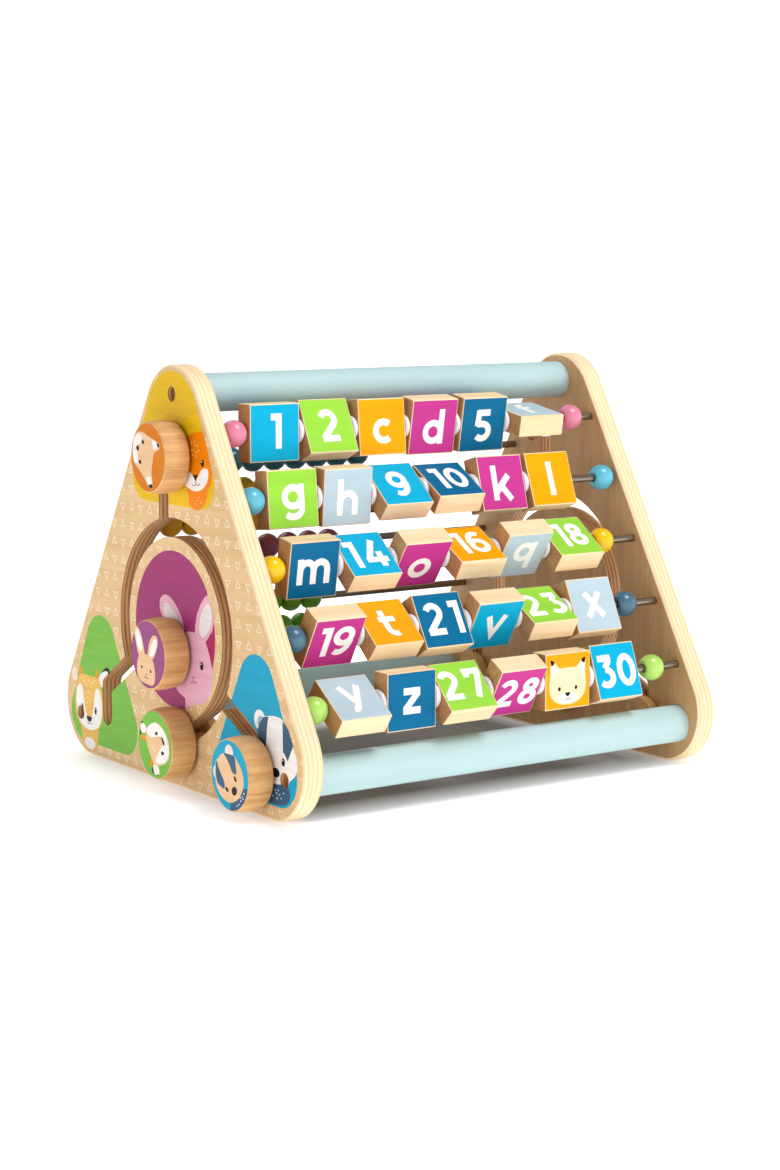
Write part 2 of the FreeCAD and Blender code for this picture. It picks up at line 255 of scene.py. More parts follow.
INKS = {
    "yellow": srgb(224, 180, 0), "orange": srgb(234, 128, 0), "light_orange": srgb(250, 186, 84),
    "knob_orange": srgb(212, 118, 0), "white": srgb(240, 234, 230), "black": srgb(34, 26, 24),
    "brown": srgb(96, 58, 50), "magenta": srgb(156, 50, 108), "crimson": srgb(166, 42, 92),
    "pink": srgb(224, 168, 186), "ear": srgb(226, 214, 212), "green": srgb(118, 182, 66),
    "ochre": srgb(226, 180, 86), "nub": srgb(226, 148, 20), "blue": srgb(14, 156, 190),
    "navy": srgb(58, 92, 120), "sky": srgb(128, 178, 190), "purple": srgb(148, 72, 124),
    "cream": srgb(250, 220, 180), "pale_pink": srgb(238, 214, 208),
}
ink = {name: paint("ink_" + name, colour) for name, colour in INKS.items()}
ink["wood"] = face_wood
glyph_white = paint("glyph_white", srgb(246, 243, 238), 0.45, 0.0, (20, 160, 160), 0.03)


# ---- outlines, in millimetres -------------------------------------------------------
def oval(u, v, ru, rv=None, turn=0.0, count=28):
    rv = ru if rv is None else rv
    c, s = math.cos(math.radians(turn)), math.sin(math.radians(turn))
    points = []
    for k in range(count):
        a = 2 * math.pi * k / count
        p, q = ru * math.cos(a), rv * math.sin(a)
        points.append((u + c * p - s * q, v + s * p + c * q))
    return points


def blob(*corners, steps=6):
    """Smooth closed outline through the corners."""
    points = []
    n = len(corners)
    for i in range(n):
        p0, p1, p2, p3 = (corners[(i + k - 1) % n] for k in range(4))
        for k in range(steps):
            t = k / steps
            points.append(tuple(
                0.5 * (2 * b + (c - a) * t + (2 * a - 5 * b + 4 * c - d) * t * t
                       + (3 * b - a - 3 * c + d) * t ** 3)
                for a, b, c, d in zip(p0, p1, p2, p3)))
    return points


def arc(u, v, ru, rv, start, end, count=14):
    """Points on an ellipse from one angle to another, in degrees."""
    return [(u + ru * math.cos(math.radians(start + (end - start) * k / count)),
             v + rv * math.sin(math.radians(start + (end - start) * k / count)))
            for k in range(count + 1)]


def round_hull(*circles):
    """Outline round circles (u, v, r) that are listed anticlockwise."""
    points = []
    n = len(circles)
    normals = []
    for i in range(n):
        (u0, v0, r0), (u1, v1, r1) = circles[i], circles[(i + 1) % n]
        span = math.hypot(u1 - u0, v1 - v0)
        heading = math.atan2(v1 - v0, u1 - u0)
        normals.append(heading - math.acos((r0 - r1) / span))
    for i in range(n):
        u, v, r = circles[i]
        start, end = normals[i - 1], normals[i]
        while end < start:
            end += 2 * math.pi
        points += arc(u, v, r, r, math.degrees(start), math.degrees(end), 16)
    return points


def moved(points, u=0.0, v=0.0, turn=0.0, scale=1.0, mirror=1):
    c, s = math.cos(math.radians(turn)), math.sin(math.radians(turn))
    return [(u + scale * (c * mirror * p - s * q), v + scale * (s * mirror * p + c * q))
            for p, q in points]


# ---- meshes -------------------------------------------------------------------------
class Plane:
    """Flat surface that prints lie on; u and v run along it and n points out of it."""

    def __init__(self, origin, u, v):
        self.origin, self.u, self.v = Vector(origin), Vector(u), Vector(v)
        self.n = self.u.cross(self.v)

    def at(self, p, height):
        return self.origin + (self.u * p[0] + self.v * p[1] + self.n * height) * MM


class Shape:
    """Vertices and faces of one piece."""

    def __init__(self):
        self.verts, self.faces = [], []

    def prism(self, outline, plane, low, high):
        area = sum(a[0] * b[1] - b[0] * a[1] for a, b in zip(outline, outline[1:] + outline[:1]))
        if area < 0:
            outline = outline[::-1]
        base, n = len(self.verts), len(outline)
        self.verts += [plane.at(p, low) for p in outline] + [plane.at(p, high) for p in outline]
        self.faces.append([base + n + k for k in range(n)])
        self.faces.append([base + k for k in reversed(range(n))])
        for k in range(n):
            m = (k + 1) % n
            self.faces.append([base + k, base + m, base + n + m, base + n + k])

    def ribbon(self, path, width, plane, low, high, closed=False):
        """Band of even width along a path, with square ends."""
        n = len(path)
        base = len(self.verts)
        for k in range(n):
            a = path[k - 1] if closed or k else path[k]
            b = path[(k + 1) % n] if closed or k < n - 1 else path[k]
            here = path[k]
            d0 = (here[0] - a[0], here[1] - a[1])
            d1 = (b[0] - here[0], b[1] - here[1])
            if d0 == (0, 0):
                d0 = d1
            if d1 == (0, 0):
                d1 = d0
            l0, l1 = math.hypot(*d0), math.hypot(*d1)
            t = (d0[0] / l0 + d1[0] / l1, d0[1] / l0 + d1[1] / l1)
            length = math.hypot(*t)
            side = (-t[1] / length, t[0] / length)
            reach = width / 2 / max(0.45, length / 2)
            left = (here[0] + side[0] * reach, here[1] + side[1] * reach)
            right = (here[0] - side[0] * reach, here[1] - side[1] * reach)
            self.verts += [plane.at(right, low), plane.at(left, low),
                           plane.at(left, high), plane.at(right, high)]
        for k in range(n if closed else n - 1):
            p, q = base + 4 * k, base + 4 * ((k + 1) % n)
            for i in range(4):
                j = (i + 1) % 4
                self.faces.append([p + j, p + i, q + i, q + j])
        if not closed:
            last = base + 4 * (n - 1)
            self.faces.append([base, base + 1, base + 2, base + 3])
            self.faces.append([last + 3, last + 2, last + 1, last])

    def piece(self, name, material, body, slot_name):
        mesh = bpy.data.meshes.new(name)
        mesh.from_pydata(self.verts, [], self.faces)
        mesh.materials.append(material)
        mesh.update()
        obj = bpy.data.objects.new(name, mesh)
        bpy.context.scene.collection.objects.link(obj)
        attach(obj, body)
        return obj


def face_slab(node, side):
    """Thin slab with the exact outline, slots and holes of a panel's outer face."""
    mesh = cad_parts[node].data
    index, verts, faces = {}, [], []
    for p in mesh.polygons:
        if p.normal.x * side < 0.99 or abs(p.center.x * side - PANEL_OUTER_X * MM) > 1e-5:
            continue
        face = []
        for k in p.vertices:
            co = mesh.vertices[k].co
            key = (round(co.y, 6), round(co.z, 6))
            if key not in index:
                index[key] = len(verts)
                verts.append(key)
            face.append(index[key])
        if len(set(face)) == len(face):
            faces.append(face)
    directed = {(f[k], f[(k + 1) % len(f)]) for f in faces for k in range(len(f))}
    n = len(verts)
    low, high = side * (PANEL_OUTER_X - TRIM_DEPTH) * MM, side * (PANEL_OUTER_X + TRIM_RISE) * MM
    points = [(high, y, z) for y, z in verts] + [(low, y, z) for y, z in verts]
    every = faces + [[n + k for k in reversed(f)] for f in faces]
    every += [[b, a, n + a, n + b] for a, b in directed if (b, a) not in directed]
    slab = bpy.data.meshes.new(node + "_slab")
    slab.from_pydata(points, [], every)
    obj = bpy.data.objects.new(node + "_slab", slab)
    bpy.context.scene.collection.objects.link(obj)
    rims = [verts[a] for a, b in directed if (b, a) not in directed]
    return obj, rims


def cut_to(obj, slab):
    """Trim a print to the slab, so slots and holes go through it."""
    trim = obj.modifiers.new("trim", "BOOLEAN")
    trim.operation, trim.solver, trim.object = "INTERSECT", "EXACT", slab
    graph = bpy.context.evaluated_depsgraph_get()
    mesh = bpy.data.meshes.new_from_object(obj.evaluated_get(graph))
    obj.modifiers.clear()
    obj.data = mesh
    return obj


def finish_node(node, *materials):
    """Give a CAD node these materials and return its mesh; faces start with the first one."""
    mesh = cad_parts[node].data
    mesh.materials.clear()
    for material in materials:
        mesh.materials.append(material)
    return mesh


def print_picture(name, items, plane, body, slot_name, slab=None, rims=(), lift=PRINT_LIFT):
    """Lay printed shapes over each other: (ink, outline) or (ink, path, line width)."""
    shapes = {}
    for layer, item in enumerate(items):
        high = lift + PRINT_STEP * layer
        crossed = False
        if slab is not None and len(item) == 2:
            us, vs = [p[0] for p in item[1]], [p[1] for p in item[1]]
            ys = sorted((plane.u.y * min(us), plane.u.y * max(us)))
            crossed = any(ys[0] - 1 < y / MM < ys[1] + 1 and min(vs) - 1 < z / MM < max(vs) + 1
                          for y, z in rims)
        key = (item[0], layer if crossed else None)
        shape = shapes.setdefault(key, Shape())
        if len(item) == 2:
            shape.prism(item[1], plane, -PRINT_SUNK, high)
        else:
            shape.ribbon(item[1], item[2], plane, -PRINT_SUNK, high)
    for (colour, layer), shape in shapes.items():
        suffix = colour if layer is None else "%s_%d" % (colour, layer)
        obj = shape.piece(name + "_" + suffix, ink[colour], body, slot_name)
        if layer is not None:
            cut_to(obj, slab)


# ---- animals on the end panels ------------------------------------------------------
def eye(u, v, ru, rv):
    return [("black", oval(u, v, ru, rv)), ("white", oval(u - 0.35 * ru, v + 0.4 * rv, 0.28 * ru))]


def dots(colour, radius, *places):
    return [(colour, oval(u, v, radius, radius, count=10)) for u, v in places]


def lion_panel():
    head = blob((22, 211), (35, 212.5), (39.5, 205), (43, 197), (45.5, 189), (42.5, 181.5),
                (35, 177.5), (26, 176.5), (17, 179), (11, 184), (9, 192), (11, 200), (16, 207))
    muzzle = blob((13, 182), (16.5, 187), (20, 188.6), (23.5, 187.4), (26.8, 185), (30, 187),
                  (33, 190.6), (37, 192.2), (40.7, 191.6), (41.4, 188.5), (40, 184.5),
                  (36, 181), (31, 178.8), (25, 178.2), (18, 179.6))
    items = [
        ("yellow", round_hull((-33, 183, 15), (33, 183, 15), (0, 216, 30.5))),
        ("orange", blob((19, 181), (18.5, 174), (20, 169.5), (26, 167.2), (32, 168.2),
                        (37, 171.5), (40, 176), (38, 181))),
        ("orange", head), ("white", muzzle),
        ("black", blob((23.6, 187.6), (26.5, 187.5), (29.3, 187.9), (28, 185.6), (26.9, 183.9),
                       (25.4, 185.6))),
        ("brown", arc(24.9, 182.8, 2.2, 1.6, 20, -150), 0.45),
        ("brown", arc(29.5, 183.5, 2.3, 1.6, -165, 0), 0.45),
        ("brown", [(27, 184.5), (27.1, 182.9)], 0.45),
    ]
    items += eye(34.8, 195, 1.9, 2.1) + eye(18.5, 193.5, 1.9, 2.1)
    items += dots("light_orange", 0.7, (22.5, 205.5), (26, 207), (29.5, 204.8), (26.5, 204.5),
                  (25, 202), (28, 201), (24, 199), (28, 198.5), (31, 202), (22, 202))
    items += dots("light_orange", 0.6, (29, 173), (33, 172), (31, 175), (27, 171))
    return items


def rabbit_panel():
    disc = 46.9
    rim = [(disc * math.cos(math.radians(a)), 94 + disc * math.sin(math.radians(a)))
           for a in range(-75, -20, 5)]
    edge = [(disc * math.cos(math.radians(a)), 94 + disc * math.sin(math.radians(a)))
            for a in range(33, 11, -3)]
    far_ear = [(24, 94), (24.6, 100), (27, 107), (31, 113), (35.5, 117.5)] + edge
    far_ear += [(44, 99), (40, 95), (36, 91), (30, 90)]
    items = [
        ("magenta", oval(0, 94, 47, 47, count=96)),
        ("crimson", [(35, 90)] + [(disc * math.cos(math.radians(a)), 94 + disc * math.sin(math.radians(a)))
                                  for a in range(10, -25, -4)] + [(41, 82)]),
        ("pink", blob((12, 93), (9.5, 101), (5.5, 106), (0, 110.5), (-6, 113.4), (-12, 113.6),
                      (-16.8, 110), (-16.8, 104), (-12, 99), (-4, 95), (4, 91))),
        ("ear", blob((9, 97), (3.5, 102.5), (-2, 106.3), (-7, 108.8), (-12.2, 108.4), (-12, 102.5),
                     (-6, 99), (2, 95.5))),
        ("pink", far_ear),
        ("ear", blob((29.2, 99.5), (31, 106), (35, 111.5), (40, 114.3), (43, 111.5), (43.6, 107),
                     (42.3, 101.5), (38, 96.6), (33.5, 93.8), (30, 95))),
        ("pink", rim + [(43, 77), (30, 62), (12, 58)]),
        ("pink", blob((1, 60), (-0.5, 70), (2, 80), (6.5, 88), (12, 94), (24, 95.4), (33, 93.5),
                      (37.5, 89.5), (41, 83), (43.6, 75), (42.5, 66), (38, 58), (30, 54),
                      (20, 53.5), (10, 55.5))),
        ("brown", [(19.5, 68.3), (21.8, 69), (24, 68.9)], 0.4),
        ("brown", [(21.8, 69), (21.9, 66.9)], 0.4),
        ("brown", arc(19.9, 66.6, 2.0, 1.5, 0, -150), 0.4),
        ("brown", arc(24.1, 67.3, 2.2, 1.6, -170, -20), 0.4),
    ]
    items += eye(31.6, 76.8, 1.9, 2.5) + eye(11, 75.5, 1.9, 2.5)
    items += [("pale_pink", [(16 + 2 * k, 50.5 + 0.4 * k), (16.3 + 2 * k, 53.5 + 0.4 * k)], 0.35)
              for k in range(4)]
    return items


def deer_panel():
    patches = blob((-121.5, 44), (-118.5, 42), (-117, 36), (-115.5, 30), (-113, 25.5), (-110, 24),
                   (-106.5, 25.5), (-104.5, 30), (-103, 36), (-101, 42), (-98, 44), (-94.5, 41),
                   (-92.8, 34), (-93.6, 26), (-97, 20), (-102, 17.2), (-110, 15.9), (-118, 17.2),
                   (-123.5, 21), (-126.4, 27), (-127, 35), (-125.5, 41))
    items = [
        ("green", round_hull((-116, 26, 18), (-63, 24, 16), (-93, 72, 19))),
        ("pale_pink", blob((-133, 49), (-129.3, 53.6), (-125.4, 50.5), (-126.4, 45.5), (-131, 45))),
        ("white", blob((-97, 46), (-95.5, 52.5), (-90, 55.6), (-84.5, 58), (-82, 56), (-86, 51.5),
                       (-90, 46.5))),
        ("black", blob((-92.2, 55.4), (-87.2, 58.7), (-83.4, 59), (-81.9, 57), (-83, 55),
                       (-85, 56.6), (-88, 56.4))),
        ("nub", oval(-121, 51.5, 2.3, 3.6)), ("nub", oval(-99, 52, 2.3, 3.8)),
        ("ochre", blob((-119.5, 18), (-120, 10), (-118, 4.2), (-110, 2.9), (-102, 4.2), (-99, 9.5),
                       (-99.5, 18))),
        ("white", oval(-109.6, 7.2, 7.2, 3.7)),
        ("ochre", blob((-122, 50), (-110, 50.6), (-97.5, 50), (-92.6, 43), (-91.2, 33), (-93, 24),
                       (-99, 17), (-110, 14.7), (-121, 17), (-127.4, 24), (-129, 33),
                       (-127.5, 43))),
        ("white", patches),
        ("black", blob((-113.6, 24.2), (-110, 24.5), (-106.4, 24.2), (-107.4, 22), (-110, 20.8),
                       (-112.6, 22))),
        ("brown", arc(-108.4, 20.6, 1.6, 1.0, 180, 360), 0.35),
        ("brown", arc(-111.6, 20.6, 1.6, 1.0, 180, 360), 0.35),
    ]
    items += eye(-101.2, 29.2, 1.5, 2.3) + eye(-119, 29.2, 1.5, 2.3)
    items += dots("cream", 0.75, (-116, 46.5), (-110, 47.5), (-104, 46.5), (-113, 44), (-107, 44),
                  (-110, 40.5), (-113.5, 39), (-106.8, 39), (-111, 36.5), (-108, 34), (-112, 33),
                  (-117.5, 48.5), (-102, 48.5))
    return items


def badger_panel():
    items = [
        ("blue", round_hull((63, 25, 16), (116, 27, 18), (92, 73, 19))),
        ("white", oval(95.3, 55.3, 5.9)), ("sky", oval(96.6, 54.3, 3.5)),
        ("navy", blob((103, 24), (110, 22.5), (118, 23), (125, 22), (126.8, 17), (124, 12.6),
                      (116, 10.3), (106, 10.2), (100, 14))),
        ("white", blob((104, 59), (111.5, 60), (118.5, 59.3), (122, 56), (129.5, 46), (133, 41),
                       (134.3, 35), (132.3, 30), (127.5, 26.4), (124, 23.4), (117, 22.4),
                       (110, 21.8), (103, 24), (97, 30), (94, 38), (93, 46), (94.5, 53),
                       (99, 57.6))),
        ("navy", [(119.4, 58.2), (122.3, 57), (125.4, 54.4), (130.2, 46.3), (127.4, 41.5),
                  (124.4, 36.8), (121.5, 40.2), (119.6, 41), (119.5, 49)]),
        ("navy", [(104.6, 58.9), (99, 57.6), (95, 53.8), (93, 49), (93, 41), (96, 35.5),
                  (101, 37.5), (102.2, 45), (103, 52)]),
        ("black", oval(111.9, 28.3, 4.2, 2.7)),
        ("brown", [(112, 26), (112, 24.2)], 0.4),
    ]
    items += eye(119.9, 35.4, 1.7, 2.3) + eye(103.5, 33.5, 1.7, 2.3)
    items += dots("white", 0.5, (111.5, 18.4), (114.6, 18.8), (112.8, 16.9), (108.8, 14.6),
                  (113.4, 14), (117.6, 14.6), (115.8, 16.4), (120.2, 18), (107.2, 17.4))
    return items


# ---- animals on the knobs and blocks, round (0, 0) ----------------------------------
def lion_face():
    return [
        ("wood", blob((-17, 8.5), (-18, 1), (-16, -4), (-10, -8), (-6, -11), (-3, -13.5),
                      (0, -16.5), (4, -17.8), (5.5, -16.6), (5, -13), (4.2, -8), (5.6, -2),
                      (7.2, 2.6), (10, 4.2), (13.4, 5.6), (14.4, 8), (11, 9.7), (6, 11.2),
                      (1, 12.3), (-4, 14), (-9, 14.6), (-14, 12.8))),
        ("white", blob((-7, 12.2), (-7.6, 8.5), (-11, 7), (-12.6, 5.4), (-12.4, 3), (-12, 0),
                       (-11.5, -2.5), (-13, -4), (-15.8, -3.8), (-17.6, 0), (-17.5, 5),
                       (-16, 9.4), (-13.5, 12.2), (-10, 13.4))),
        ("white", blob((5.6, 10.4), (9, 9.8), (12, 8.8), (12.4, 7), (8.6, 5), (6.4, 6))),
        ("black", blob((11, 9.2), (14.1, 8), (12.6, 6.4), (11.5, 7.4))),
        ("white", blob((-2.5, -12.6), (-0.6, -10.9), (3.4, -11.4), (4.1, -15), (1, -15.6))),
        ("black", blob((0.4, -16.3), (4.4, -15.1), (5.3, -16.7), (3.8, -17.6))),
        ("black", blob((-13.5, 5.5), (-11, 6.3), (-10.4, 4.5), (-12, 3))),
        ("black", oval(-5.5, 8.7, 1.6, 1.1, -20)), ("black", oval(-9.2, -3.1, 1.6, 1.1, -20)),
        ("brown", [(-13.2, 4.4), (-14.6, 4.4)], 0.4),
    ]


def rabbit_face():
    return [
        ("wood", blob((-11, -1.5), (-14.3, 5), (-16.3, 11), (-15.8, 14), (-13.8, 15.4), (-11, 14.4),
                      (-8, 11), (-5.6, 5), (-4.3, -1))),
        ("white", blob((-14.4, 12.6), (-14.9, 10), (-13, 5), (-10, 1.6), (-7.2, 1.6), (-6.8, 5),
                       (-8.6, 10), (-11.8, 13.6))),
        ("wood", blob((-0.2, -1), (0.5, 4), (2.5, 8.5), (6, 11.9), (9, 12.5), (11.5, 11),
                      (11.5, 7), (9, 2), (5.4, -2))),
        ("white", blob((2.1, -0.4), (3, 4), (5.5, 8), (8.5, 10.6), (10.7, 9.4), (10.4, 6.5),
                       (8, 2), (5, -0.6))),
        ("wood", blob((-13, -6), (-13.2, -12), (-10.6, -16), (-5, -17.4), (1, -17.8), (5, -17.6),
                      (7.6, -15), (8.2, -10), (6.8, -5), (5, -2), (0, -0.2), (-4, -0.2),
                      (-8, -0.5), (-11, -2))),
        ("black", oval(-7.5, -8.2, 0.95)), ("black", oval(3, -9.6, 0.95)),
        ("brown", [(-3.6, -11.6), (-2.4, -12.2), (-1.2, -11.8)], 0.35),
        ("brown", arc(-3.7, -13.2, 1.2, 0.9, 30, -150), 0.35),
        ("brown", arc(-1.3, -13.4, 1.2, 0.9, 180, 350), 0.35),
    ]


def deer_face():
    return [
        ("white", blob((-17.2, 8.2), (-16, 10.8), (-11.9, 10.2), (-9.6, 7.4), (-12.4, 5),
                       (-16.6, 5.6))),
        ("black", blob((-17, 10), (-15.6, 11.8), (-13.8, 11.6), (-15.6, 10.4))),
        ("black", blob((-17.9, 4.2), (-17.6, 6.6), (-16.4, 5.2), (-17, 3))),
        ("white", blob((-2.2, -12.6), (1.1, -11), (4.6, -13.6), (4.6, -16.9), (1.6, -17.8),
                       (-1.2, -17))),
        ("black", blob((-3.9, -13.6), (-3.6, -16.8), (-1.6, -17.8), (-2.3, -15.6))),
        ("black", blob((0.8, -17.9), (4.4, -17.2), (3, -18))),
        ("nub", oval(-13.2, 2, 3.4, 1.7, -5)), ("nub", oval(-4.2, -11.2, 1.9, 2.9, -25)),
        ("wood", blob((-10.9, 3.6), (-8.9, 8.6), (-3.9, 12.1), (2.1, 13.6), (8.1, 12.1),
                      (13.1, 8.6), (16.6, 3.6), (17.4, -1.4), (15.6, -6.4), (11.1, -9.6),
                      (6.1, -11.4), (1.1, -11.9), (-1.9, -10.9), (-4.9, -7.9), (-7.9, -3.4),
                      (-9.9, 0.6))),
        ("white", blob((-8.9, 5.6), (-7.9, 9.6), (-2.9, 12.4), (2.1, 13.3), (8.1, 11.6),
                       (13, 8), (16, 2.8), (16.7, -1.4), (15, -5.9), (11.1, -8.9), (6.1, -10.4),
                       (2.1, -10.6), (0.9, -8.4), (4.1, -4.4), (7.1, -0.9), (9.4, 1.2),
                       (9.2, 4.2), (6.1, 5.9), (0.1, 4.6), (-4.9, 3.9))),
        ("black", blob((7.1, 5.8), (9.6, 5.4), (11.6, 3.2), (10.9, 1.1), (9.4, 2.4), (8.3, 4.4))),
        ("black", oval(2.1, 7.1, 1.6, 1.1, 15)), ("black", oval(9.2, -3.5, 1.7, 1.2, 15)),
        ("cream", oval(-5, 1, 0.6)), ("cream", oval(-3, -2.4, 0.6)), ("cream", oval(-1, 0.6, 0.6)),
        ("cream", oval(0.6, -3, 0.6)),
    ]


def badger_face():
    body = arc(0, 0, KNOB_PRINT_R, KNOB_PRINT_R, -88, -12, 16) + [(13.5, -5), (9, -10), (1, -15)]
    items = [
        ("navy", body),
        ("pale_pink", oval(-0.5, 13, 4.4)), ("pale_pink", oval(-14.2, -0.6, 3.9)),
        ("wood", blob((-14, 6.5), (-9, 10.5), (-5, 11.8), (4, 12), (9, 9), (13, 5), (15, -0.5),
                      (14, -5.5), (10, -11), (4, -14.5), (-2, -15.5), (-8, -14), (-13, -10.5),
                      (-15.2, -6.5), (-15.7, -0.5), (-15.2, 4.5))),
        ("navy", blob((-6, 11.6), (-1, 12), (5, 11.6), (6.6, 7.5), (7.3, 2.6), (6, 1.7), (3, 2.3),
                      (0, 6), (-3, 9))),
        ("navy", blob((-14, 6), (-12, 2.5), (-9, -1), (-5.7, -5), (-6, -8.6), (-9, -8.1),
                      (-13, -6.5), (-15, -2.5), (-15.2, 2.5))),
        ("black", oval(6, -1, 1.9, 1.1, -45)), ("black", oval(-3, -8.5, 1.9, 1.1, -30)),
        ("black", oval(5, -8, 2.9, 2.4, 30)),
    ]
    return items + dots("white", 0.45, (12, -12.4), (10, -14.6), (13.4, -9.8), (15.4, -7.6),
                        (8, -15.8), (14.4, -10.8), (11.4, -10.6))


def fox_face():
    items = [
        ("cream", blob((-13.4, 3), (-13.2, 9), (-12.8, 13), (-10.6, 12.2), (-7.8, 9.2), (-5.4, 7.8),
                       (0, 8), (5.4, 7.8), (7.8, 9.2), (10.6, 12.2), (12.8, 13), (13.2, 9),
                       (13.4, 3), (14, -3), (13, -8), (9.5, -12), (4.5, -14), (0, -14.4),
                       (-4.5, -14), (-9.5, -12), (-13, -8), (-14, -3))),
        ("white", blob((-12.4, 4), (-12.4, 8), (-12, 11.2), (-10.6, 10.6), (-8.4, 8), (-8.8, 5.4),
                       (-10.4, 3.4))),
        ("white", blob((12.4, 4), (12.4, 8), (12, 11.2), (10.6, 10.6), (8.4, 8), (8.8, 5.4),
                       (10.4, 3.4))),
        ("black", blob((-13, 13.2), (-10.3, 12), (-10.9, 10.4), (-12.6, 10))),
        ("black", blob((13, 13.2), (10.3, 12), (10.9, 10.4), (12.6, 10))),
        ("white", blob((-6.6, -9), (-3, -7), (0, -7.6), (3, -7), (6.6, -9), (5.6, -12.4), (0, -13.6),
                       (-5.6, -12.4))),
        ("black", blob((-2, -7.4), (0, -7.1), (2, -7.4), (1, -8.9), (0, -9.5), (-1, -8.9))),
        ("black", oval(-6.3, -4.6, 0.95, 1.25)), ("black", oval(6.3, -4.6, 0.95, 1.25)),
        ("brown", arc(-1.2, -10.4, 1.2, 0.9, 0, -150), 0.35),
        ("brown", arc(1.2, -10.4, 1.2, 0.9, 180, 330), 0.35),
    ]
    return items + dots("white", 0.35, (-2.4, 2), (0, 3), (2.4, 2), (-1.2, 0.2), (1.2, 0.2), (0, -1.6))


# ---- numbers and letters ------------------------------------------------------------
HALF = GLYPH_STROKE / 2
XH = 0.74                  # height of a small letter
TOP = 1 - HALF             # centre line of the top stroke of a digit
BAR = XH - HALF            # centre line of the cross bar of f and t
GLYPH_GAP = 0.09           # between the two digits of a number
GLYPH_LOW, GLYPH_HIGH = -0.28, 1.05       # the reach of tails and tall letters


def ring(u, v, ru, rv):
    return ("ring", oval(u, v, ru, rv, count=36))


def line(*points):
    return ("line", list(points))


